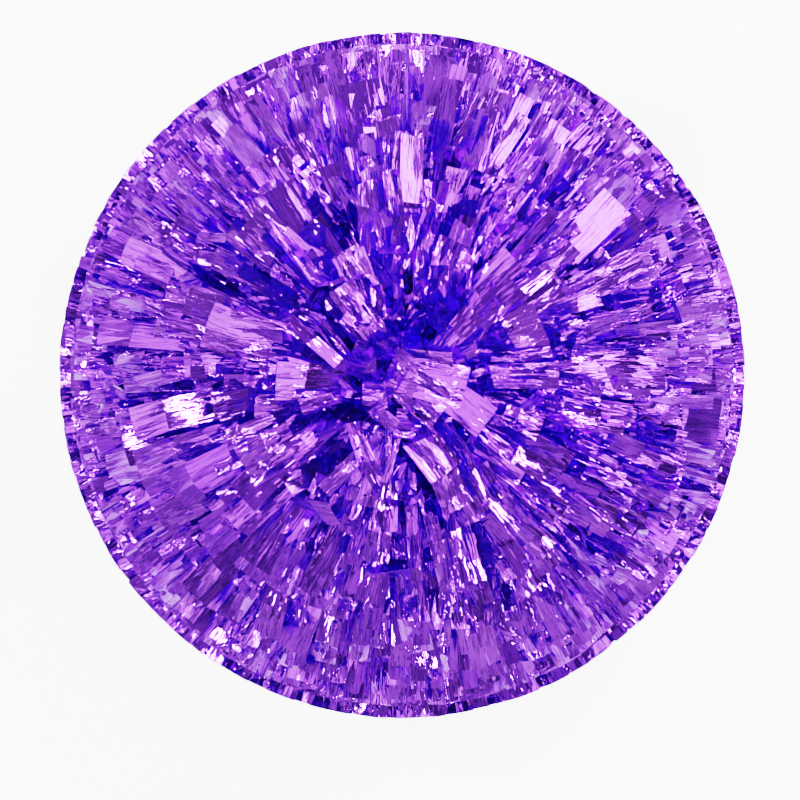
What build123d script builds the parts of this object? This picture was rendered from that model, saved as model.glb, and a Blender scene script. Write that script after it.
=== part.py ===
from build123d import *
import os
from math import atan2, cos, degrees, radians, sin, sqrt

# Cheer pom pom: two tufts of foil streamers, one on each end of a hidden baton.
# It stands on its lower tuft. The baton's axis is Z, and Z = 0 is the surface it rests on.
# Every end piece is drawn once, from the middle of the baton outwards, and made for both ends.

# ---- the ball of streamers: each tuft is half a ball, centred on its rim ----
upper_radius = 144.0
lower_radius = 150.0        # the lower tuft spreads a little under its load
foot_radius = 65.0          # where the surface flattens the lower crown
hand_slit = 8.0             # between the two rims, where the hand pushes in
crown_windings = 9          # fringe sheets that stand above the spool's mouth
skirt_bunches = 12          # the last sheet hangs past the spool in this many bunches
streamer_gap = 2.0          # between neighbouring sheets and bunches at the rim

# ---- baton ----
tube_radius = 12.5
tube_wall = 2.0
tube_length = 92.0
tube_edge = 0.5

# ---- end plug, pressed into the tube ----
plug_flange = 2.4
plug_depth = 16.0
plug_wall = 1.6
plug_boss_radius = 4.2
plug_web = 1.2
plug_webs = 4
plug_press_gap = 0.02

# ---- swivel screw and washer ----
shoulder_radius = 2.5
thread_radius = 1.8
thread_length = 12.0
screw_head_radius = 4.4
screw_head_height = 2.6
screw_slot_width = 1.0
screw_slot_depth = 1.1
washer_radius = 5.0
washer_thickness = 0.8

# ---- spool that the fringe is wound on ----
running_gap = 0.08          # round the shoulder of the screw
end_play = 0.3              # between moving faces
spool_flange = 2.0
spool_flange_radius = 17.0
drum_radius = 8.5
drum_length = 15.6
spool_floor = 10.0          # from the spool's inner face to the washer's seat
cap_seat_radius = 5.8
cap_rim_radius = 8.0
cap_thickness = 2.0
cap_stem = 1.8
cap_press_gap = 0.02

# ---- fringe headers, tape and tie ----
header_thickness = 0.5
header_gap = 0.1
header_length = 14.5        # of the innermost sheet
header_step = 0.4           # each later sheet is wound this much further back
header_side_gap = 0.2       # from the spool's flange
tape_thickness = 0.3
tape_width = 8.4
tape_gap = 0.05
tie_thickness = 1.3
tie_width = 4.8
tie_head = 6.8
tie_head_depth = 4.2
tie_tail = 6.0
tie_offset = 3.8            # from the flange to the middle of the strap
cap_clearance = 1.0         # from the cap to the crown of streamers above it

# ---- the baton's middle above the surface, and places along it from there ----
half_slit = hand_slit / 2
middle_height = half_slit + sqrt(lower_radius**2 - foot_radius**2)
tube_end = tube_length / 2
plug_face = tube_end + plug_flange
spool_start = plug_face + end_play
flange_face = spool_start + spool_flange
drum_end = flange_face + drum_length
washer_seat = spool_start + spool_floor
header_start = flange_face + header_side_gap
crown_exit = header_start + header_length
cap_top = drum_end + cap_thickness
roll_radius = drum_radius + (crown_windings + 1) * (header_thickness + header_gap)
shoulder_end = washer_seat + end_play + washer_thickness

os.makedirs("parts", exist_ok=True)


def save(builder, name):
    """Labels a finished piece and writes it under its own name."""
    builder.part.label = name
    export_step(builder.part, f"parts/{name}.step")


def half_section(side, turn=0):
    """The plane to draw a turned profile on: x is the radius, y runs outwards from the baton's middle."""
    away = (cos(radians(turn)), sin(radians(turn)), 0)
    return Plane(origin=(0, 0, middle_height), x_dir=away, z_dir=(side * away[1], -side * away[0], 0))


def cross_section(side, along):
    """A plane across the baton, that far out from its middle, facing outwards."""
    face = Plane(origin=(0, 0, middle_height), x_dir=(1, 0, 0), z_dir=(0, 0, side))
    return face.offset(along)


def make_tube():
    with BuildPart() as tube:
        with BuildSketch(cross_section(1, -tube_end)):
            Circle(tube_radius)
            Circle(tube_radius - tube_wall, mode=Mode.SUBTRACT)
        extrude(amount=tube_length)
        outer_edges = tube.edges().filter_by(GeomType.CIRCLE).sort_by(SortBy.RADIUS)[-2:]
        chamfer(outer_edges, tube_edge)
    save(tube, "baton_tube")


def make_end_plug(side, name):
    spigot_radius = tube_radius - tube_wall - plug_press_gap
    with BuildPart() as plug:
        with BuildSketch(cross_section(side, tube_end)):
            Circle(tube_radius)
        extrude(amount=plug_flange)
        with BuildSketch(cross_section(side, tube_end)):
            Circle(spigot_radius)
            Circle(spigot_radius - plug_wall, mode=Mode.SUBTRACT)
            Circle(plug_boss_radius)
            with PolarLocations(spigot_radius / 2, plug_webs):
                Rectangle(spigot_radius - plug_wall, plug_web)
        extrude(amount=-plug_depth)
        with BuildSketch(cross_section(side, plug_face)):
            Circle(thread_radius)
        extrude(amount=-(plug_flange + plug_depth), mode=Mode.SUBTRACT)
        rim = plug.edges().filter_by(GeomType.CIRCLE).sort_by(SortBy.RADIUS)[-1]
        chamfer(rim, tube_edge)
    save(plug, f"{name}_end_plug")


def make_screw(side, name):
    head_top = shoulder_end + screw_head_height
    with BuildPart() as screw:
        with BuildSketch(half_section(side)):
            with BuildLine():
                Polyline(
                    (0, plug_face - thread_length),
                    (thread_radius / 2, plug_face - thread_length),
                    (thread_radius, plug_face - thread_length + thread_radius),
                    (thread_radius, plug_face),
                    (shoulder_radius, plug_face),
                    (shoulder_radius, shoulder_end),
                    (screw_head_radius, shoulder_end),
                    (screw_head_radius, head_top),
                    (0, head_top),
                    close=True,
                )
            make_face()
        revolve(axis=Axis.Z)
        head_edges = screw.edges().filter_by(GeomType.CIRCLE).filter_by(
            lambda edge: edge.radius == screw_head_radius and abs(edge.center().Z - middle_height) > shoulder_end
        )
        fillet(head_edges.sort_by(lambda edge: abs(edge.center().Z - middle_height))[-1], screw_head_height / 2)
        with BuildSketch(cross_section(side, head_top)):
            Rectangle(screw_head_radius, screw_slot_width)
            Rectangle(screw_slot_width, screw_head_radius)
        extrude(amount=-screw_slot_depth, mode=Mode.SUBTRACT)
    save(screw, f"{name}_swivel_screw")


def make_washer(side, name):
    with BuildPart() as washer:
        with BuildSketch(cross_section(side, washer_seat + end_play)):
            Circle(washer_radius)
            Circle(shoulder_radius + running_gap, mode=Mode.SUBTRACT)
        extrude(amount=washer_thickness)
    save(washer, f"{name}_washer")


def make_spool(side, name):
    with BuildPart() as spool:
        with BuildSketch(cross_section(side, spool_start)):
            Circle(spool_flange_radius)
        extrude(amount=spool_flange)
        fillet(spool.edges().filter_by(GeomType.CIRCLE), spool_flange / 4)
        with BuildSketch(cross_section(side, flange_face)):
            Circle(drum_radius)
        extrude(amount=drum_length)
        with BuildSketch(cross_section(side, drum_end)):
            Circle(cap_seat_radius)
        extrude(amount=washer_seat - drum_end, mode=Mode.SUBTRACT)
        with BuildSketch(cross_section(side, washer_seat)):
            Circle(shoulder_radius + running_gap)
        extrude(amount=-spool_floor, mode=Mode.SUBTRACT)
    save(spool, f"{name}_spool")


def make_end_cap(side, name):
    with BuildPart() as cap:
        with BuildSketch(cross_section(side, drum_end)):
            Circle(cap_rim_radius)
        extrude(amount=cap_thickness)
        fillet(cap.faces().sort_by(Axis.Z)[-1 if side > 0 else 0].edges(), cap_thickness / 2)
        with BuildSketch(cross_section(side, drum_end)):
            Circle(cap_seat_radius - cap_press_gap)
        extrude(amount=-cap_stem)
    save(cap, f"{name}_end_cap")


def make_tape(side, name):
    inner = roll_radius + tape_gap
    with BuildPart() as tape:
        with BuildSketch(cross_section(side, header_start)):
            Circle(inner + tape_thickness)
            Circle(inner, mode=Mode.SUBTRACT)
        extrude(amount=tape_width)
    save(tape, f"{name}_header_tape")


def make_tie(side, name):
    inner = roll_radius + tape_gap + tape_thickness + tape_gap
    strap_middle = flange_face + tie_offset
    head_middle = inner + tie_head_depth / 2
    with BuildPart() as tie:
        with BuildSketch(cross_section(side, strap_middle - tie_width / 2)):
            Circle(inner + tie_thickness)
            Circle(inner, mode=Mode.SUBTRACT)
        extrude(amount=tie_width)
        with BuildSketch(cross_section(side, strap_middle - tie_head / 2)):
            with Locations((head_middle, 0)):
                Rectangle(tie_head_depth, tie_head)
            Circle(inner, mode=Mode.SUBTRACT)
        extrude(amount=tie_head)
        with BuildSketch(cross_section(side, strap_middle - tie_width / 2)):
            with Locations((head_middle, (tie_head + tie_tail) / 2)):
                Rectangle(tie_thickness, tie_tail)
        extrude(amount=tie_width)
    save(tie, f"{name}_cable_tie")


def header(number):
    """The inner and outer radius of one sheet's uncut band, and where its streamers leave the roll."""
    inner = drum_radius + header_gap + (number - 1) * (header_thickness + header_gap)
    return inner, inner + header_thickness, crown_exit - (number - 1) * header_step


def far(radius, along, angle, ball_radius):
    """A point well outside the ball, along a line that leaves the baton's direction by that angle."""
    reach = 4 * ball_radius
    return radius + reach * sin(radians(angle)), along + reach * cos(radians(angle))


def draw_streamers(outline, ball_radius, height_left):
    """Fills the outline as far as the ball's surface, and no lower than what the ball rests on."""
    Polygon(*outline, align=None)
    with Locations((0, half_slit)):
        Circle(ball_radius, mode=Mode.INTERSECT)
        Rectangle(ball_radius, height_left, align=(Align.MIN, Align.MIN), mode=Mode.INTERSECT)


def make_crown(side, name, ball_radius, height_left):
    """The standing sheets from the middle (01) outwards, each an uncut band and a cone of streamers."""
    gap_angle = degrees(streamer_gap / ball_radius)
    spread = 90 / crown_windings
    for number in range(1, crown_windings + 1):
        inner, outer, leaves = header(number)
        low_angle = number * spread
        outline = [(inner, header_start), (outer, header_start), (outer, leaves)]
        outline.append(far(outer, leaves, low_angle, ball_radius))
        if number == 1:
            crown_floor = cap_top + cap_clearance
            outline += [(0, 4 * ball_radius), (0, crown_floor), (inner, crown_floor)]
        else:
            high_angle = low_angle - spread + gap_angle
            outline += [far(inner, leaves, high_angle, ball_radius), (inner, leaves)]
        with BuildPart() as sheet:
            with BuildSketch(half_section(side)):
                draw_streamers(outline, ball_radius, height_left)
            revolve(axis=Axis.Z)
        save(sheet, f"{name}_crown_{number:02d}")


def make_skirt(side, name, ball_radius, height_left):
    """The last sheet: its uncut band, and the bunches that arch out and back towards the hand."""
    inner, outer, leaves = header(crown_windings + 1)
    with BuildPart() as band:
        with BuildSketch(cross_section(side, header_start)):
            Circle(outer)
            Circle(inner, mode=Mode.SUBTRACT)
        extrude(amount=leaves - header_start)
    save(band, f"{name}_skirt_header")

    gap_angle = degrees(streamer_gap / ball_radius)
    skirt_angle = degrees(atan2(ball_radius - outer, half_slit - leaves))
    outline = [
        (inner, leaves),
        (outer, leaves),
        far(outer, leaves, skirt_angle, ball_radius),
        far(inner, leaves, 90 + gap_angle, ball_radius),
    ]
    bunch_turn = 360 / skirt_bunches
    for number in range(1, skirt_bunches + 1):
        with BuildPart() as bunch:
            with BuildSketch(half_section(side, (number - 1) * bunch_turn + gap_angle / 2)):
                draw_streamers(outline, ball_radius, height_left)
            revolve(axis=Axis.Z, revolution_arc=bunch_turn - gap_angle)
        save(bunch, f"{name}_bunch_{number:02d}")


make_tube()
for side, name, ball_radius, height_left in (
    (1, "upper", upper_radius, upper_radius),
    (-1, "lower", lower_radius, middle_height - half_slit),
):
    make_end_plug(side, name)
    make_screw(side, name)
    make_washer(side, name)
    make_spool(side, name)
    make_end_cap(side, name)
    make_tape(side, name)
    make_tie(side, name)
    make_crown(side, name, ball_radius, height_left)
    make_skirt(side, name, ball_radius, height_left)
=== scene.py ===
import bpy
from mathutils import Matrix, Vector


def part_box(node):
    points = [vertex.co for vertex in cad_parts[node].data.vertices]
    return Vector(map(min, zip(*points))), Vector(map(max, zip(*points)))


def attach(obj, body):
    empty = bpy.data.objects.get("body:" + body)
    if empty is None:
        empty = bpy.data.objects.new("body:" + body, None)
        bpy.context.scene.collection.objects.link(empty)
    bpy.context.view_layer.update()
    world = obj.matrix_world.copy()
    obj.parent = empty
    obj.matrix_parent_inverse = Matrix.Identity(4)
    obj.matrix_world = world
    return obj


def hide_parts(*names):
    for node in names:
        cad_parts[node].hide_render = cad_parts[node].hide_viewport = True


bl_info = {
    "name": "Foil pom pom",
    "version": (1, 0, 0),
    "blender": (4, 5, 0),
    "location": "View3D > Sidebar > Pom pom",
    "description": "Lays the foil streamers of a two-tuft cheer pom pom round its swivelling spools",
    "category": "Add Mesh",
}

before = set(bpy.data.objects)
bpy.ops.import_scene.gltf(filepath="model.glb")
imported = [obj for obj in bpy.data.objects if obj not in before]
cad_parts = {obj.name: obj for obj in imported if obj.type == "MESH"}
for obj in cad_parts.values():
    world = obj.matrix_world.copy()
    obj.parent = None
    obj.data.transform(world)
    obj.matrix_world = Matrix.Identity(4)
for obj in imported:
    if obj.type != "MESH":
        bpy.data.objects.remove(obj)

import math

import bpy
import numpy as np
from bpy.props import FloatProperty, FloatVectorProperty, IntProperty, PointerProperty
from mathutils import Vector

ENDS = {"upper": 1, "lower": -1}
BATON_LOW, BATON_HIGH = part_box("baton_tube")
MIDDLE = (BATON_LOW.z + BATON_HIGH.z) / 2
CROWN_SHEETS = sum(name.startswith("upper_crown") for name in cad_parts)
SKIRT_BUNCHES = sum(name.startswith("upper_bunch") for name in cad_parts)


def outward(name, height):
    """How far a height lies from the baton's middle, towards that end."""
    return ENDS[name] * (height - MIDDLE)


def tuft_sizes(name):
    """One tuft's measures from the frame: its side (1 upper, -1 lower), then heights and radii in metres.

    Heights run outwards from the baton's middle: the rim's, the top's, and where streamers leave the spool. The
    radii are the ball's, the rolled header's and the drum's."""
    bunches = [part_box(f"{name}_bunch_{number:02d}") for number in range(1, SKIRT_BUNCHES + 1)]
    rim = min(outward(name, z) for low, high in bunches for z in (low.z, high.z))
    radius = max(max(high.x, high.y) for low, high in bunches)
    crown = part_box(f"{name}_crown_01")
    top = max(outward(name, z) for z in (crown[0].z, crown[1].z))
    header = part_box(f"{name}_skirt_header")
    leaves = max(outward(name, z) for z in (header[0].z, header[1].z))
    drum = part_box(f"{name}_end_cap")[1].x
    roll = header[1].x
    return {
        "side": ENDS[name], "rim": rim, "radius": radius, "top": top, "leaves": leaves, "roll": roll, "drum": drum,
    }


# ---------------------------------------------------------------- what a user may change


class StreamerSizes(bpy.types.PropertyGroup):
    strip_width: FloatProperty(
        name="Strip width", description="Width that the fringe is cut to", default=0.0062, min=0.002, unit="LENGTH"
    )
    foil_thickness: FloatProperty(
        name="Foil thickness", description="Thickness of one streamer", default=0.00009, min=0.00002, unit="LENGTH"
    )
    crease_height: FloatProperty(
        name="Crease height", description="How far a lengthwise fold stands up", default=0.0006, unit="LENGTH"
    )
    per_tuft: IntProperty(
        name="Streamers per tuft", description="Streamers on one spool, before the skirt is filled out",
        default=2100, min=200,
    )
    seed: IntProperty(name="Seed", description="Changes how the streamers fall", default=7)


class FoilFinish(bpy.types.PropertyGroup):
    face: FloatVectorProperty(
        name="Foil", description="Colour of the metallised film", subtype="COLOR", size=3, default=(0.22, 0.045, 0.86)
    )
    pale: FloatVectorProperty(
        name="Pale foil", description="Colour where the film is thinly dyed", subtype="COLOR", size=3,
        default=(0.35, 0.095, 0.88),
    )
    roughness: FloatProperty(name="Roughness", description="Roughness of the film", default=0.075, min=0, max=1)
    crumple_cell: FloatProperty(
        name="Crumple size", description="Width of one small crumpled facet", default=0.0028, unit="LENGTH"
    )
    swell_width: FloatProperty(
        name="Swell width", description="Width of one slow swell in the film", default=0.012, unit="LENGTH"
    )
    streak_width: FloatProperty(
        name="Streak width", description="Width of one fine lengthwise crease", default=0.0009, unit="LENGTH"
    )


class StudioSetup(bpy.types.PropertyGroup):
    camera_height: FloatProperty(
        name="Camera height", description="Camera above the ball's middle", default=1.9, unit="LENGTH"
    )
    ball_share: FloatProperty(
        name="Ball in frame", description="Share of the picture's width that the ball takes", default=0.862
    )
    right_of_middle: FloatProperty(
        name="Ball to the right", description="Share of the picture that the ball lies right of its middle",
        default=0.0025,
    )
    above_middle: FloatProperty(
        name="Ball above", description="Share of the picture that the ball lies above its middle", default=0.031
    )
    overhead: FloatProperty(name="Overhead light", description="Brightness of the overhead softbox", default=9.0)
    key: FloatProperty(name="Key light", description="Brightness of the side softbox", default=34.0)
    fill: FloatProperty(name="Fill light", description="Brightness of the opposite softbox", default=7.0)
    low: FloatProperty(name="Low lights", description="Brightness of the ring of low softboxes", default=2.0)
    lamp: FloatProperty(name="Lamp", description="Brightness of each small lamp that makes glints", default=800.0)
    room: FloatProperty(name="Room", description="Brightness of the room", default=0.28)
    floor_light: FloatProperty(
        name="Light on the floor", description="Brightness of the light that the foil sees on the floor", default=1.0
    )
    under_light: FloatProperty(
        name="Light under the ball", description="Brightness of the floor round the ball, as the foil sees it",
        default=4.0,
    )
    exposure: FloatProperty(name="Exposure", description="Exposure of the picture, in stops", default=-1.0)
    floor_in_foil: FloatProperty(name="Floor in foil", description="How pale the foil sees the floor", default=0.16)


# ---------------------------------------------------------------- small helpers


def deselect_all():
    if bpy.context.object and bpy.context.object.mode != "OBJECT":
        bpy.ops.object.mode_set(mode="OBJECT")
    bpy.ops.object.select_all(action="DESELECT")


def pick(mesh, chosen):
    """Selects the vertices that the test chooses, and nothing else, ready for edit mode."""
    mesh.polygons.foreach_set("select", [False] * len(mesh.polygons))
    mesh.edges.foreach_set("select", [False] * len(mesh.edges))
    for vertex in mesh.vertices:
        vertex.select = chosen(vertex.co)


def shift_points(piece, chosen, offset):
    """Moves the chosen points of a piece in edit mode."""
    bpy.ops.object.mode_set(mode="OBJECT")
    pick(piece.data, chosen)
    bpy.ops.object.mode_set(mode="EDIT")
    bpy.ops.transform.translate(value=offset)
    bpy.ops.object.mode_set(mode="OBJECT")


# ---------------------------------------------------------------- streamer blanks


# Each kind's count of strips side by side, its width in strips, its root's share of that width, and its spread of roll.
KINDS = {
    "single": {"strips": 2, "width": (0.85, 1.15), "root_width": 0.8, "roll": 0.6},
    "pair": {"strips": 3, "width": (1.4, 2.1), "root_width": 0.45, "roll": 0.35},
    "paddle": {"strips": 5, "width": (1.9, 3.5), "root_width": 0.3, "roll": 0.2},
}
BLANKS = {}
ROWS = 8


class Blank:
    """A folded blank read back from its mesh: which row each point is in, how far across, how high, and the faces."""

    def __init__(self, piece, strips, crease):
        mesh = piece.data
        points = np.zeros(len(mesh.vertices) * 3)
        mesh.vertices.foreach_get("co", points)
        points = points.reshape(-1, 3)
        self.row = np.rint(points[:, 0] * ROWS).astype(int)
        self.across = points[:, 1]
        self.line = np.rint((points[:, 1] + 0.5) * strips).astype(int)
        self.raised = (points[:, 2] > crease / 2).astype(float)
        self.height = points[:, 2] - self.raised * crease
        self.faces = [list(polygon.vertices) for polygon in mesh.polygons]


def fold_blank(name, strips, crease, thickness):
    """A flat blank one unit long and one wide, with every second lengthwise line raised, and given its thickness."""
    deselect_all()
    bpy.ops.mesh.primitive_grid_add(x_subdivisions=ROWS, y_subdivisions=strips, size=1, location=(0.5, 0, 0))
    piece = bpy.context.object
    piece.name = name
    bpy.ops.object.transform_apply(location=True)
    near = 0.01
    for line in range(1, strips, 2):
        place = line / strips - 0.5
        shift_points(piece, lambda co: abs(co.y - place) < near and co.x < 1 - near, (0, 0, crease))
    solid = piece.modifiers.new("Thickness", "SOLIDIFY")
    solid.thickness = thickness
    solid.offset = 0
    bpy.ops.object.modifier_apply(modifier=solid.name)
    BLANKS[name] = Blank(piece, strips, crease)
    bpy.data.objects.remove(piece)


# ---------------------------------------------------------------- laying streamers


ROW_SPACING = 0.85  # power that brings the rows closer together towards the tip
ROW_JITTER = 0.02  # of a streamer's length
ROOT_HANDLE = 0.42  # share of the chord over which a streamer keeps the direction that it leaves the spool in
SLOW_BEND = 0.0035  # out of its own plane, in metres
SIDE_BEND = 0.0022
FINE_BEND = 0.0004
SKEW = 0.22  # how far a row may lie off square to the streamer
CREASED_ROWS = ((2, 4), (4, 6), (6, 8))  # one crease falls in each of these ranges of rows
SURFACE_ROOM = 0.0002  # kept free under the ball's surface and the top
PATTERN_CENTRE = (-0.0074, -0.0087)  # where the top of the crown comes together, off the axis

# What differs between the standing crown and the skirt: the shares of single strips and of singles with pairs, the
# share that lies over the rest, how strongly tips gather into locks, how far they lean, and how far they roll and
# twist in the upper and the lower tuft.
SHEETS = {
    "crown": {
        "singles": 0.52, "with_pairs": 0.95, "outer": 0.22, "gather": 0.00075, "lean": 1.0, "calm": {1: 1, -1: 1},
    },
    "skirt": {
        "singles": 0.78, "with_pairs": 0.975, "outer": 0.4, "gather": 0.0002, "lean": 0.35, "calm": {1: 0.5, -1: 0.25},
    },
}
LOCK_WAVES = 18
LOCK_FINENESS = (9, 26)  # waves' steps over the unit ball, in radians
LOCK_DEPTH = 0.007
LOCK_LEAN = 0.013
LOCK_ROLL = 0.45
TOP_ANGLE = 0.42  # how far from the axis the loose top reaches, in radians
SKIRT_OVERLAP = 0.02  # how far a bunch reaches into the next one, in radians
SKIRT_FULLNESS = 1.8  # how much denser the skirt is than the crown


def unit(vectors):
    return vectors / np.maximum(np.linalg.norm(vectors, axis=-1, keepdims=True), 1e-9)


def turned(vectors, axes, angles):
    """Vectors turned round unit axes that they are square to."""
    return vectors * np.cos(angles)[..., None] + np.cross(axes, vectors) * np.sin(angles)[..., None]


def bent_line(root, tip, start, end, along):
    """Points on the curve from root to tip that sets out along one handle and arrives along the other."""
    handle_a, handle_b = root + start, tip - end
    t = along[..., None]
    return (
        (1 - t) ** 3 * root[:, None]
        + 3 * (1 - t) ** 2 * t * handle_a[:, None]
        + 3 * (1 - t) * t**2 * handle_b[:, None]
        + t**3 * tip[:, None]
    )


def directions(angles):
    """Unit vectors (outwards from the axis, along it) at angles from the axis."""
    return np.stack([np.sin(angles), np.cos(angles)], -1)


def lay_streamers(draw, sizes, tips):
    """The rows of points that each streamer follows, in the tuft's own frame, where height runs outwards.

    Gives the points, the way across and the face at each row, each row's place along the streamer, and the straight
    length. tips is what choose_tips gives."""
    count = len(tips["angle"])
    along = np.linspace(0, 1, ROWS + 1) ** ROW_SPACING
    along = np.clip(along + draw.normal(0, ROW_JITTER, (count, ROWS + 1)), 0, 1)
    along[:, 0], along[:, -1] = 0, 1
    along.sort(axis=1)
    radius = sizes["radius"] - tips["depth"]
    root = np.stack([tips["root"], tips["leaves"]], -1)
    tip = np.stack([radius * np.sin(tips["angle"]), sizes["rim"] + radius * np.cos(tips["angle"])], -1)
    chord = np.linalg.norm(tip - root, axis=-1, keepdims=True)
    start = directions(tips["lift"]) * chord * ROOT_HANDLE
    end = directions(tips["angle"] + tips["droop"]) * chord * tips["arch"][:, None]
    flat = bent_line(root, tip, start, end, along)
    turn = tips["turn"][:, None] + tips["swing"][:, None] * (1 - along) ** 2
    points = np.stack([flat[..., 0] * np.cos(turn), flat[..., 0] * np.sin(turn), flat[..., 1]], -1)
    sideways = np.stack([-np.sin(turn), np.cos(turn), np.zeros_like(turn)], -1)
    way = unit(np.gradient(points, axis=1))
    sideways = unit(sideways - way * (sideways * way).sum(-1, keepdims=True))
    face = np.cross(way, sideways)
    swell = np.sin(np.pi * along) ** 0.7
    kink = tips["kink"][:, None]
    points = points + face * (draw.normal(0, SLOW_BEND, (count, ROWS + 1)) * swell * kink)[..., None]
    points = points + sideways * (tips["lean"][:, None] * along**2.2)[..., None]
    points = points + sideways * (draw.normal(0, SIDE_BEND, (count, ROWS + 1)) * swell)[..., None]
    points[..., :2] += np.array(PATTERN_CENTRE) * (along**2 * np.cos(tips["angle"])[:, None] ** 2)[..., None]
    points = straightened(draw, points, along)
    way = unit(np.gradient(points, axis=1))
    sideways = unit(sideways - way * (sideways * way).sum(-1, keepdims=True))
    steps = draw.normal(0, 1, (count, ROWS + 1)) * tips["twist"][:, None]
    roll = tips["roll"][:, None] + np.cumsum(steps, axis=1) - np.sum(steps, axis=1)[:, None]
    across = turned(sideways, way, roll)
    face = np.cross(way, across)
    skew = draw.normal(0, SKEW, (count, ROWS + 1)) * (along < 0.999)
    across = across + way * skew[..., None]
    points = points + face * (draw.normal(0, FINE_BEND, (count, ROWS + 1)) * kink)[..., None]
    return points, across, face, along, chord[:, 0]


def straightened(draw, points, along):
    """Leaves each streamer bent only at three of its rows, with straight runs between, as stiff foil creases."""
    count = len(points)
    picked = np.zeros((count, ROWS + 1), bool)
    picked[:, [0, ROWS]] = True
    every = np.arange(count)
    for low, high in CREASED_ROWS:
        picked[every, draw.integers(low, high, count)] = True
    rows = np.arange(ROWS + 1)
    before = np.maximum.accumulate(np.where(picked, rows, 0), axis=1)
    after = np.minimum.accumulate(np.where(picked, rows, ROWS)[:, ::-1], axis=1)[:, ::-1]
    a, b = along[every[:, None], before], along[every[:, None], after]
    part = np.where(b > a, (along - a) / np.maximum(b - a, 1e-6), 0)[..., None]
    return points[every[:, None], before] * (1 - part) + points[every[:, None], after] * part


def keep_inside(place, sizes, radius, lowest):
    """Trims points to the ball, off the other tuft, and off the surface that the pom pom rests on."""
    from_centre = place - (0, 0, sizes["rim"])
    far = np.linalg.norm(from_centre, axis=-1, keepdims=True)
    from_centre = from_centre * np.minimum(1, radius / np.maximum(far, 1e-6))
    place = from_centre + (0, 0, sizes["rim"])
    place[..., 2] = np.clip(place[..., 2], lowest, sizes["top"] - SURFACE_ROOM)
    return place


def build_piece(name, laid, tips, sizes, draw, material):
    """Copies of the blanks along their rows, each its own strip of faces, as one piece."""
    points, across, face, along, chord = laid
    crease = bpy.context.scene.pom_streamers.crease_height
    corners, loops, uvs, tones, crumples = [], [], [], [], []
    start = 0
    for kind, blank in BLANKS.items():
        chosen = np.flatnonzero(tips["kind"] == kind)
        if not len(chosen):
            continue
        row = blank.row
        root_width = tips["root_width"][chosen, None]
        taper = root_width + (1 - root_width) * along[chosen][:, row] ** 0.8
        y = blank.across[None] * tips["width"][chosen, None] * taper
        uneven = draw.normal(0, 0.5, (len(chosen), blank.line.max() + 1))[:, blank.line] * crease
        fade = 1 - tips["flat_end"][chosen, None] * along[chosen][:, row] ** 2
        fold = (blank.raised[None] * crease + uneven) * tips["crease"][chosen, None] * fade
        limit = sizes["radius"] - tips["depth"][chosen, None, None] - SURFACE_ROOM
        lowest = tips["lift_off"][chosen, None]
        line = keep_inside(points[chosen], sizes, limit, lowest)
        place = line[:, row] + across[chosen][:, row] * y[..., None] + face[chosen][:, row] * fold[..., None]
        place = keep_inside(place, sizes, limit, lowest) + face[chosen][:, row] * blank.height[None, :, None]
        if sizes["side"] < 0:
            place = place * (1, -1, -1)
        place[..., 2] += MIDDLE
        corners.append(place.reshape(-1, 3))
        faces = np.array(blank.faces)
        offsets = start + np.arange(len(chosen)) * len(row)
        loops.append((faces[None] + offsets[:, None, None]).reshape(-1))
        spot = draw.uniform(0, 9, (len(chosen), 2))
        u = along[chosen][:, row] * chord[chosen, None] * 1.15 + spot[:, :1]
        v = y + spot[:, 1:]
        loop_points = faces.reshape(-1)
        uvs.append(np.stack([u[:, loop_points], v[:, loop_points]], -1).reshape(-1))
        tones.append(np.repeat(tips["tone"][chosen], len(faces)))
        crumples.append(np.repeat(tips["crumple"][chosen], len(faces)))
        start += len(chosen) * len(row)
    corners = np.concatenate(corners)
    loops = np.concatenate(loops)
    mesh = bpy.data.meshes.new(name)
    mesh.vertices.add(len(corners))
    mesh.vertices.foreach_set("co", corners.reshape(-1))
    mesh.loops.add(len(loops))
    mesh.loops.foreach_set("vertex_index", loops)
    mesh.polygons.add(len(loops) // 4)
    mesh.polygons.foreach_set("loop_start", np.arange(0, len(loops), 4))
    mesh.polygons.foreach_set("use_smooth", np.zeros(len(loops) // 4, bool))
    mesh.update(calc_edges=True)
    mesh.validate()
    mesh.uv_layers.new(name="foil").data.foreach_set("uv", np.concatenate(uvs))
    for label, values in (("tone", tones), ("crumple", crumples)):
        mesh.attributes.new(label, "FLOAT", "FACE").data.foreach_set("value", np.concatenate(values))
    mesh.materials.append(material)
    piece = bpy.data.objects.new(name, mesh)
    bpy.context.scene.collection.objects.link(piece)
    return piece


def waves(draw):
    """Slow waves over the ball, by which neighbouring streamers gather into locks."""
    ways = unit(draw.normal(0, 1, (LOCK_WAVES, 3))) * draw.uniform(*LOCK_FINENESS, LOCK_WAVES)[:, None]
    return ways, draw.uniform(0, 2 * math.pi, (2, LOCK_WAVES))


def gathered(sizes, angle, turn, sheet):
    """Draws tips together into locks; gives their new places, how far each is sunk, and how its lock leans."""
    ways, phases = sizes["waves"]
    tips = np.stack([np.sin(angle) * np.cos(turn), np.sin(angle) * np.sin(turn), np.cos(angle)], -1)
    steps = tips @ ways.T + phases[0]
    height = np.sin(steps).sum(1) / 3
    tips = unit(tips + (np.cos(steps) @ ways) * SHEETS[sheet]["gather"])
    lean = np.sin(tips @ ways.T * 0.6 + phases[1]).sum(1) / 3
    if sheet == "crown":
        angle = np.arccos(np.clip(tips[:, 2], 0, 1))
    return angle, np.arctan2(tips[:, 1], tips[:, 0]), LOCK_DEPTH * np.clip(-height, 0, 3), lean


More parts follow.
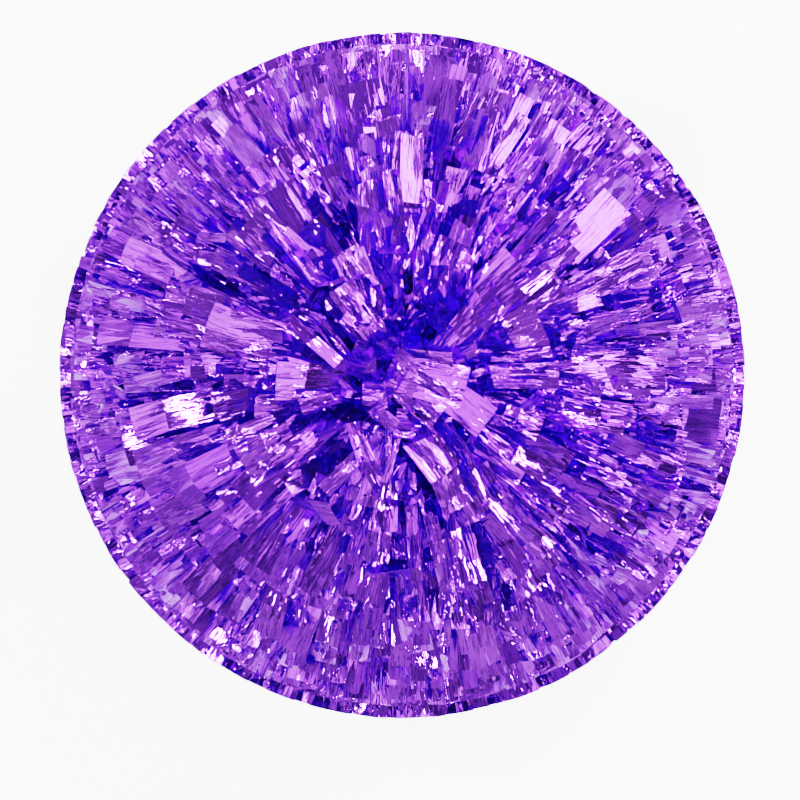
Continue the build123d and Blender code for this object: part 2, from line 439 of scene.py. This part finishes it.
def choose_kinds(draw, count, sheet):
    """Which blank each streamer is a copy of, and its width."""
    style = draw.random(count)
    shares = SHEETS[sheet]
    kind = np.where(style < shares["singles"], "single", np.where(style < shares["with_pairs"], "pair", "paddle"))
    strip = bpy.context.scene.pom_streamers.strip_width
    width = np.zeros(count)
    for name, make in KINDS.items():
        width = np.where(kind == name, strip * draw.uniform(*make["width"], count), width)
    return kind, width


def by_kind(kind, key):
    return np.select([kind == name for name in KINDS], [make[key] for make in KINDS.values()])


def choose_places(draw, count, sheet, angles, turns):
    """Angles from the axis and turns round it, even over the sheet's part of the ball but fuller at a skirt's rim."""
    top, low = math.cos(angles[0]), math.cos(angles[1])
    spread = draw.random(count)
    if sheet == "skirt":
        where = draw.random(count)
        spread = np.where(where < 0.3, 1 - 0.25 * spread**1.7, np.where(where < 0.6, 1 - 0.03 * spread, spread))
    angle = np.arccos(np.clip(top + (low - top) * spread, -1, 1))
    slots = (np.arange(count) + draw.random(count)) / count
    return angle, turns[0] + (turns[1] - turns[0]) * draw.permutation(slots)


def choose_droop(draw, sheet, side, angle, outer, near_top):
    """How far each tip bends over from straight out: some at the top lean back, and skirts may reach outwards."""
    count = len(angle)
    combed = outer | (draw.random(count) < 0.25)
    back = draw.random(count) < 0.4 * near_top
    droop = np.where(combed, draw.uniform(1.0, 1.55, count), draw.uniform(0.1, 0.9, count))
    if side > 0:
        droop = droop * (0.55 + 0.45 * np.cos(angle))
        reaching = (sheet == "skirt") & (draw.random(count) < 0.5)
        droop = np.where(reaching, draw.uniform(0, 0.25, count), droop)
    else:
        furthest = np.arccos(np.clip(2.7 * np.cos(angle), 0, 0.98))
        furthest = furthest - (draw.uniform(0, 0.9, count) if sheet == "skirt" else 0)
        droop = np.maximum(draw.uniform(0.5, 1.3, count), furthest) - angle
    return np.where(back, -draw.uniform(0.5, 1.3, count), droop)


def choose_depth(draw, angle, outer, wide, sunk):
    """How far under the ball's surface each tip ends: hardly at all at the rim, and least for paddles."""
    count = len(angle)
    depth = np.where(outer, draw.uniform(0.0008, 0.005, count), draw.uniform(0.004, 0.024, count) + sunk)
    depth = np.where(wide, draw.uniform(0, 0.0005, count), depth)
    return depth * (1 - 0.98 * np.sin(angle) ** 8) + draw.uniform(0, 0.0006, count)


def choose_tips(draw, count, angles, turns, sizes, roots, sheet):
    """Random values for a sheet or bunch of streamers, one of each for every streamer.

    kind, width, root_width, crease, flat_end, tone and crumple say what it is cut and folded like. angle (from the
    axis), turn (round it), depth (under the ball's surface), lift_off (from the middle plane), root (radius), leaves
    (height), lift (first direction), droop, arch, swing, lean, kink, roll and twist say how it lies."""
    style = SHEETS[sheet]
    kind, width = choose_kinds(draw, count, sheet)
    wide = kind == "paddle"
    angle, turn = choose_places(draw, count, sheet, angles, turns)
    angle, turn, sunk, lock = gathered(sizes, angle, turn, sheet)
    near_top = np.exp(-((angle / TOP_ANGLE) ** 2))
    outer = wide | (draw.random(count) < style["outer"])
    droop = choose_droop(draw, sheet, sizes["side"], angle, outer, near_top)
    depth = choose_depth(draw, angle, outer, wide, sunk)
    calm = style["calm"][sizes["side"]]
    clean = draw.random(count) < np.where(wide, 0.7, 0.38)
    return {
        "kind": kind,
        "width": width,
        "root_width": by_kind(kind, "root_width"),
        "crease": np.where(clean, draw.uniform(0.1, 0.6, count), draw.uniform(0.5, 1.9, count)),
        "flat_end": draw.uniform(0.4, 1.0, count),
        "angle": angle,
        "turn": turn,
        "swing": draw.normal(0, 0.25, count) * (1 + 3 * near_top),
        "depth": depth,
        "lift_off": draw.uniform(0.0004, 0.0024, count),
        "root": roots[0] + draw.uniform(0, 0.0005, count),
        "leaves": np.full(count, roots[1]),
        "lift": angle * draw.uniform(0.2, 0.6, count),
        "droop": droop,
        "arch": np.where(outer, draw.uniform(0.5, 0.8, count), draw.uniform(0.3, 0.5, count)),
        "kink": draw.uniform(0.2, 1.3, count) * calm**0.5,
        "roll": (draw.normal(0, 1, count) * by_kind(kind, "roll") + LOCK_ROLL * lock) * calm,
        "twist": np.where(wide, 0.05, draw.uniform(0.02, 0.22, count)) * calm,
        "tone": draw.random(count),
        "crumple": np.where(clean, draw.uniform(0, 0.12, count), draw.uniform(0.3, 1.0, count)),
        "lean": (draw.normal(0, 1, count) * (0.005 + 0.018 * near_top) + LOCK_LEAN * lock) * style["lean"],
    }


def sheet_spans(sizes):
    """The angle from the axis, at the ball's surface, where each crown sheet starts and the last one ends."""
    edge = math.acos(min(1, (sizes["leaves"] - sizes["rim"]) / sizes["radius"]))
    return [edge * number / CROWN_SHEETS for number in range(CROWN_SHEETS + 1)] + [math.pi / 2]


def share(angles):
    """A sheet's share of the tuft's streamers, a little more towards the middle than its share of the surface."""
    return (math.cos(angles[0]) - math.cos(angles[1])) ** 0.85


def plan_tuft(end, seed):
    """One tuft's sizes, its sheets' spans, how many streamers go in each span, and the source of its random draws."""
    sizes = tuft_sizes(end)
    spans = sheet_spans(sizes)
    pairs = [spans[k:k + 2] for k in range(CROWN_SHEETS + 1)]
    total = sum(share(angles) for angles in pairs)
    per_tuft = bpy.context.scene.pom_streamers.per_tuft
    draw = np.random.default_rng(seed)
    sizes["waves"] = waves(draw)
    return sizes, pairs, [per_tuft * share(angles) / total for angles in pairs], draw


def lay_sheet(name, node, draw, count, angles, turns, sizes, roots, sheet):
    """One piece of streamers in place of one of the frame's solids."""
    tips = choose_tips(draw, count, angles, turns, sizes, roots, sheet)
    laid = lay_streamers(draw, sizes, tips)
    material = bpy.data.materials.get("metallised_foil") or foil_material()
    piece = build_piece(name, laid, tips, sizes, draw, material)
    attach(piece, name.split("_")[0] + "_tuft")
    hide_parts(node)


# ---------------------------------------------------------------- materials


def new_material(name):
    material = bpy.data.materials.new(name)
    material.use_nodes = True
    tree = material.node_tree
    return material, tree.nodes, tree.links, tree.nodes["Principled BSDF"]


def noise(nodes, links, way, scale, detail, distortion=0):
    texture = nodes.new("ShaderNodeTexNoise")
    texture.inputs["Scale"].default_value = scale
    texture.inputs["Detail"].default_value = detail
    texture.inputs["Distortion"].default_value = distortion
    links.new(way, texture.inputs["Vector"])
    return texture.outputs["Fac"]


def ranged(nodes, links, value, low, high, start=0, end=1, soft=False):
    """The value brought from start..end to low..high."""
    node = nodes.new("ShaderNodeMapRange")
    if soft:
        node.interpolation_type = "SMOOTHSTEP"
    for socket, number in (("From Min", start), ("From Max", end), ("To Min", low), ("To Max", high)):
        node.inputs[socket].default_value = number
    links.new(value, node.inputs["Value"])
    return node.outputs["Result"]


def stretched(nodes, links, way, scale):
    node = nodes.new("ShaderNodeMapping")
    node.inputs["Scale"].default_value = scale
    links.new(way, node.inputs["Vector"])
    return node.outputs["Vector"]


def combined(nodes, links, operation, a, b):
    node = nodes.new("ShaderNodeMath")
    node.operation = operation
    links.new(a, node.inputs[0])
    links.new(b, node.inputs[1])
    return node.outputs[0]


def vector_node(nodes, links, operation, a):
    node = nodes.new("ShaderNodeVectorMath")
    node.operation = operation
    links.new(a, node.inputs[0])
    return node


def mixed(nodes, links, factor, a, b):
    node = nodes.new("ShaderNodeMix")
    node.data_type = "RGBA"
    node.inputs["A"].default_value = (*a, 1)
    node.inputs["B"].default_value = (*b, 1)
    links.new(factor, node.inputs["Factor"])
    return node.outputs["Result"]


def bumped(nodes, links, height, distance, normal=None):
    node = nodes.new("ShaderNodeBump")
    node.inputs["Strength"].default_value = 1
    node.inputs["Distance"].default_value = distance
    links.new(height, node.inputs["Height"])
    if normal:
        links.new(normal, node.inputs["Normal"])
    return node.outputs["Normal"]


def foil_material():
    """Metallised film: coloured metal with small crumpled facets, fine lengthwise creases and slow swells."""
    finish = bpy.context.scene.pom_foil
    material, nodes, links, shader = new_material("metallised_foil")
    shader.inputs["Metallic"].default_value = 0.97
    place = nodes.new("ShaderNodeUVMap")
    place.uv_map = "foil"
    way = place.outputs["UV"]
    tone, crushed = nodes.new("ShaderNodeAttribute"), nodes.new("ShaderNodeAttribute")
    tone.attribute_name, crushed.attribute_name = "tone", "crumple"

    patches = noise(nodes, links, way, 45, 2)
    dye = combined(nodes, links, "MULTIPLY", patches, tone.outputs["Fac"])
    links.new(mixed(nodes, links, dye, finish.face, finish.pale), shader.inputs["Base Color"])
    rough = ranged(nodes, links, patches, finish.roughness * 0.4, finish.roughness * 1.4)
    links.new(rough, shader.inputs["Roughness"])

    cells = stretched(nodes, links, way, (0.45 / finish.crumple_cell, 1 / finish.crumple_cell, 1))
    crumple = nodes.new("ShaderNodeTexVoronoi")
    crumple.voronoi_dimensions = "2D"
    crumple.inputs["Scale"].default_value = 1
    links.new(cells, crumple.inputs["Vector"])
    within = vector_node(nodes, links, "SUBTRACT", cells)
    links.new(crumple.outputs["Position"], within.inputs[1])
    tilt = vector_node(nodes, links, "SUBTRACT", crumple.outputs["Color"])
    tilt.inputs[1].default_value = (0.5, 0.5, 0.5)
    facets = vector_node(nodes, links, "DOT_PRODUCT", within.outputs["Vector"])
    links.new(tilt.outputs["Vector"], facets.inputs[1])
    dents = combined(nodes, links, "MULTIPLY", facets.outputs["Value"], crushed.outputs["Fac"])

    lengthwise = stretched(nodes, links, way, (0.06 / finish.streak_width, 0.45 / finish.streak_width, 1))
    streaks = noise(nodes, links, lengthwise, 1, 3, distortion=0.8)
    grooved = ranged(nodes, links, crushed.outputs["Fac"], 0.2, 1)
    grooves = combined(nodes, links, "MULTIPLY", streaks, grooved)
    swells = noise(nodes, links, way, 0.7 / finish.swell_width, 0.5)

    normal = bumped(nodes, links, dents, 0.011)
    normal = bumped(nodes, links, grooves, 0.0018, normal)
    normal = bumped(nodes, links, swells, 0.0035, normal)
    links.new(normal, shader.inputs["Normal"])
    return material


def plain_material(name, colour, roughness, metallic=0, grain=400, depth=0.00003):
    """A moulded or turned finish: a fine grain in its roughness, colour and bump, on Object coordinates."""
    material, nodes, links, shader = new_material(name)
    shader.inputs["Metallic"].default_value = metallic
    place = nodes.new("ShaderNodeTexCoord")
    grains = noise(nodes, links, place.outputs["Object"], grain, 4)
    links.new(ranged(nodes, links, grains, roughness * 0.8, roughness * 1.2), shader.inputs["Roughness"])
    links.new(mixed(nodes, links, grains, [c * 0.93 for c in colour], colour), shader.inputs["Base Color"])
    links.new(bumped(nodes, links, grains, depth), shader.inputs["Normal"])
    return material


# ---------------------------------------------------------------- operators


class POM_OT_blanks(bpy.types.Operator):
    """Fold the streamer blanks that every tuft is laid from"""

    bl_idname = "pom.blanks"
    bl_label = "Fold streamer blanks"

    def execute(self, context):
        sizes = context.scene.pom_streamers
        for name, make in KINDS.items():
            fold_blank(name, make["strips"], sizes.crease_height, sizes.foil_thickness)
        return {"FINISHED"}


class POM_OT_crowns(bpy.types.Operator):
    """Lay the standing sheets of streamers on both spools"""

    bl_idname = "pom.crowns"
    bl_label = "Lay the crowns"

    def execute(self, context):
        seed = context.scene.pom_streamers.seed
        for end in ENDS:
            sizes, spans, counts, draw = plan_tuft(end, seed + ENDS[end])
            leaves = sizes["leaves"] + 0.003
            for number in range(1, CROWN_SHEETS + 1):
                root = sizes["drum"] + (sizes["roll"] - sizes["drum"]) * (number - 1) / CROWN_SHEETS
                count = max(10, round(counts[number - 1]))
                lay_sheet(
                    f"{end}_streamers_{number:02d}", f"{end}_crown_{number:02d}", draw,
                    count, spans[number - 1], (0, 2 * math.pi), sizes, (root, leaves), "crown",
                )
        return {"FINISHED"}


class POM_OT_skirts(bpy.types.Operator):
    """Lay the bunches that arch out past each spool towards the hand"""

    bl_idname = "pom.skirts"
    bl_label = "Lay the skirts"

    def execute(self, context):
        seed = context.scene.pom_streamers.seed
        step = 2 * math.pi / SKIRT_BUNCHES
        for end in ENDS:
            sizes, spans, counts, draw = plan_tuft(end, seed + 10 * ENDS[end] + 30)
            count = round(SKIRT_FULLNESS * counts[-1] / SKIRT_BUNCHES)
            roots = (sizes["roll"] - 0.0005, sizes["leaves"])
            for number in range(1, SKIRT_BUNCHES + 1):
                turns = ((number - 1) * step - SKIRT_OVERLAP, number * step + SKIRT_OVERLAP)
                lay_sheet(
                    f"{end}_streamers_skirt_{number:02d}", f"{end}_bunch_{number:02d}", draw,
                    count, spans[-1], turns, sizes, roots, "skirt",
                )
        return {"FINISHED"}


class POM_OT_baton(bpy.types.Operator):
    """Give the baton, spools, screws, tape and ties their finishes"""

    bl_idname = "pom.baton"
    bl_label = "Finish the baton"

    def execute(self, context):
        finishes = {
            "baton_tube": plain_material("baton_plastic_finish", (0.78, 0.78, 0.80), 0.38),
            "spool": plain_material("spool_plastic", (0.68, 0.68, 0.71), 0.45),
            "steel": plain_material("screw_steel_finish", (0.62, 0.63, 0.65), 0.28, metallic=1, grain=900),
            "tape": plain_material("clear_tape", (0.70, 0.67, 0.74), 0.22, grain=150),
            "tie": plain_material("tie_nylon_finish", (0.80, 0.79, 0.75), 0.42),
            "header": bpy.data.materials["metallised_foil"],
        }
        wanted = {
            "baton_tube": "baton_tube", "end_plug": "spool", "spool": "spool", "end_cap": "spool",
            "swivel_screw": "steel", "washer": "steel", "header_tape": "tape", "cable_tie": "tie",
            "skirt_header": "header",
        }
        for name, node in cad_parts.items():
            for ending, finish in wanted.items():
                if name.endswith(ending):
                    node.data.materials.clear()
                    node.data.materials.append(finishes[finish])
        return {"FINISHED"}


FLOOR_GLOW = 6  # keeps the floor and the backdrop pale to the camera
BACKDROP = 8
BOUNCES = 8
SOFTBOXES = (  # name, place, width and depth in metres
    ("overhead", (0.15, 0.1, 2.4), 1.5, 1.5),
    ("key", (1.3, 1.3, 1.3), 1.1, 1.1),
    ("fill", (-1.6, 0.5, 1.0), 1.2, 0.9),
)
LOW_SOFTBOXES = 8
LOW_START = 40  # degrees
LOW_RADIUS, LOW_HEIGHT = 2.5, 0.55
LAMPS = ((0.55, 0.75, 1.9), (-0.95, 0.35, 1.7), (0.25, -1.15, 1.5))
LAMP_SIZE = 0.18


def softbox(name, place, width, depth, brightness):
    """A soft light that faces the baton's middle."""
    lamp = bpy.data.lights.new(name, "AREA")
    lamp.shape = "RECTANGLE"
    lamp.size, lamp.size_y = width, depth
    lamp.energy = brightness * math.pi * width * depth
    light = bpy.data.objects.new(name, lamp)
    light.location = place
    light.rotation_euler = (Vector((0, 0, MIDDLE)) - Vector(place)).to_track_quat("-Z", "Y").to_euler()
    bpy.context.scene.collection.objects.link(light)


def floor_material(setup):
    """A pale floor. The foil sees it darker than the eye does, with soft painted pools of light, and a painted glow
    under the ball.
    """
    material = bpy.data.materials.new("pale_floor")
    material.use_nodes = True
    nodes, links = material.node_tree.nodes, material.node_tree.links
    nodes.clear()
    seen, mirrored = nodes.new("ShaderNodeBsdfDiffuse"), nodes.new("ShaderNodeBsdfDiffuse")
    seen.inputs["Color"].default_value = (0.93, 0.93, 0.94, 1)
    mirrored.inputs["Color"].default_value = (*[setup.floor_in_foil] * 3, 1)
    glow, pools = nodes.new("ShaderNodeEmission"), nodes.new("ShaderNodeEmission")
    glow.inputs["Strength"].default_value = FLOOR_GLOW

    place = nodes.new("ShaderNodeTexCoord").outputs["Object"]
    # Painted light that only the foil sees: soft pools of glow over the floor, and a brighter glow under the ball
    patches = noise(nodes, links, place, 1.6, 1)
    far = ranged(nodes, links, patches, 0.12, setup.floor_light, 0.4, 0.62, soft=True)
    rings = nodes.new("ShaderNodeTexGradient")
    rings.gradient_type = "SPHERICAL"
    links.new(stretched(nodes, links, place, (1.1, 1.1, 1.1)), rings.inputs["Vector"])
    near = ranged(nodes, links, rings.outputs["Fac"], 0, setup.under_light, 0, 0.6, soft=True)
    links.new(combined(nodes, links, "ADD", far, near), pools.inputs["Strength"])

    mix = nodes.new("ShaderNodeMixShader")
    for slot, (surface, light) in enumerate(((mirrored, pools), (seen, glow)), 1):
        both = nodes.new("ShaderNodeAddShader")
        links.new(surface.outputs[0], both.inputs[0])
        links.new(light.outputs[0], both.inputs[1])
        links.new(both.outputs[0], mix.inputs[slot])
    links.new(nodes.new("ShaderNodeLightPath").outputs["Is Camera Ray"], mix.inputs["Fac"])
    links.new(mix.outputs[0], nodes.new("ShaderNodeOutputMaterial").inputs["Surface"])
    return material


def room_world(setup):
    """A dim room with soft bright and dark panels, behind a pale backdrop."""
    world = bpy.data.worlds.new("room")
    world.use_nodes = True
    nodes, links = world.node_tree.nodes, world.node_tree.links
    walls = noise(nodes, links, nodes.new("ShaderNodeTexCoord").outputs["Generated"], 2.2, 1)
    panels = ranged(nodes, links, walls, setup.room * 0.2, setup.room * 3.6, 0.38, 0.66, soft=True)
    brightness = nodes.new("ShaderNodeMapRange")
    brightness.inputs["To Max"].default_value = BACKDROP
    links.new(nodes.new("ShaderNodeLightPath").outputs["Is Camera Ray"], brightness.inputs["Value"])
    links.new(panels, brightness.inputs["To Min"])
    nodes["Background"].inputs["Color"].default_value = (0.95, 0.955, 1, 1)
    links.new(brightness.outputs["Result"], nodes["Background"].inputs["Strength"])
    return world


class POM_OT_stage(bpy.types.Operator):
    """Set the floor, the soft lights and the camera straight above the ball"""

    bl_idname = "pom.stage"
    bl_label = "Set the stage"

    def execute(self, context):
        setup = context.scene.pom_studio
        scene = context.scene
        deselect_all()
        bpy.ops.mesh.primitive_plane_add(size=60, location=(0, 0, -0.0003))
        floor = context.object
        floor.name = "floor"
        floor.data.materials.append(floor_material(setup))

        scene.world = room_world(setup)
        scene.view_settings.view_transform = "Filmic"
        scene.view_settings.look = "Medium High Contrast"
        scene.view_settings.exposure = setup.exposure
        scene.cycles.glossy_bounces = BOUNCES

        for name, place, width, depth in SOFTBOXES:
            softbox(name, place, width, depth, getattr(setup, name))
        for number in range(LOW_SOFTBOXES):
            way = math.radians(LOW_START + 360 / LOW_SOFTBOXES * number)
            place = (LOW_RADIUS * math.cos(way), LOW_RADIUS * math.sin(way), LOW_HEIGHT)
            softbox(f"low_{number + 1}", place, 1.5, 0.8, setup.low)
        for number, place in enumerate(LAMPS, 1):
            softbox(f"lamp_{number}", place, LAMP_SIZE, LAMP_SIZE, setup.lamp)

        camera_data = bpy.data.cameras.new("camera")
        camera = bpy.data.objects.new("camera", camera_data)
        scene.collection.objects.link(camera)
        scene.camera = camera
        camera_data.dof.use_dof = False
        seen = tuft_sizes("lower")["radius"] * 2 / setup.ball_share
        camera_data.lens = camera_data.sensor_width * setup.camera_height / seen
        camera.location = (0, 0, MIDDLE + setup.camera_height)
        camera_data.shift_x = -setup.right_of_middle
        camera_data.shift_y = -setup.above_middle
        camera_data.clip_end = 20
        return {"FINISHED"}


class POM_PT_sidebar(bpy.types.Panel):
    """Lists the pieces in the order that they are made"""

    bl_label = "Pom pom"
    bl_idname = "POM_PT_sidebar"
    bl_space_type = "VIEW_3D"
    bl_region_type = "UI"
    bl_category = "Pom pom"

    def draw(self, context):
        column = self.layout.column()
        for operator in OPERATORS:
            column.operator(operator.bl_idname)
        for settings in (context.scene.pom_streamers, context.scene.pom_foil, context.scene.pom_studio):
            box = column.box()
            for name in settings.bl_rna.properties.keys()[2:]:
                box.prop(settings, name)


OPERATORS = (POM_OT_blanks, POM_OT_crowns, POM_OT_skirts, POM_OT_baton, POM_OT_stage)
CLASSES = (StreamerSizes, FoilFinish, StudioSetup, *OPERATORS, POM_PT_sidebar)


def register():
    for cls in CLASSES:
        bpy.utils.register_class(cls)
    bpy.types.Scene.pom_streamers = PointerProperty(type=StreamerSizes)
    bpy.types.Scene.pom_foil = PointerProperty(type=FoilFinish)
    bpy.types.Scene.pom_studio = PointerProperty(type=StudioSetup)


def unregister():
    del bpy.types.Scene.pom_streamers
    del bpy.types.Scene.pom_foil
    del bpy.types.Scene.pom_studio
    for cls in reversed(CLASSES):
        bpy.utils.unregister_class(cls)


def main():
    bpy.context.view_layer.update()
    register()
    for operator in OPERATORS:
        group, name = operator.bl_idname.split(".")
        getattr(getattr(bpy.ops, group), name)()


if __name__ == "__main__":
    main()
